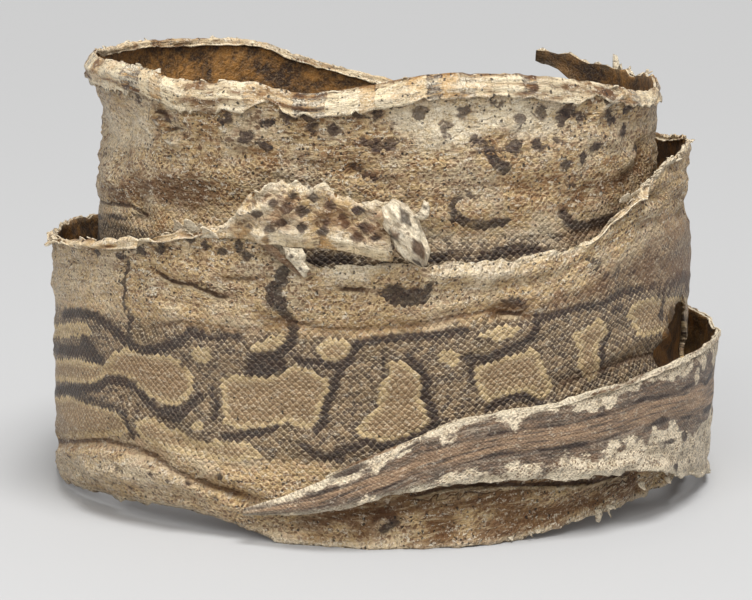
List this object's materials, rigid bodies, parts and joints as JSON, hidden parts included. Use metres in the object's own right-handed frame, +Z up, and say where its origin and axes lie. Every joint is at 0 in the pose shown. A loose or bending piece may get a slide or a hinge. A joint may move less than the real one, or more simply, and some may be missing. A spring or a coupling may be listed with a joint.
{
  "type": "shed snake skin",
  "caption": "Dried shed snake skin with scale pattern and torn edges, rolled on itself into an open upright ring that stands on its lower edge.",
  "frame": {"origin": "middle of the bounding box at the plane the roll stands on", "axes": "+Z up, along the axis of the roll; +X to the right and -Y to the front, seen from the side where the tail tip lies"},
  "size_m": [0.2366, 0.2156, 0.1525],
  "materials": {
    "skin": "dry scaled skin with a soft sheen, dark blotches on tan and cream"
  },
  "bodies": {
    "root": {"shed_skin": "skin"}
  },
  "joints": []
}
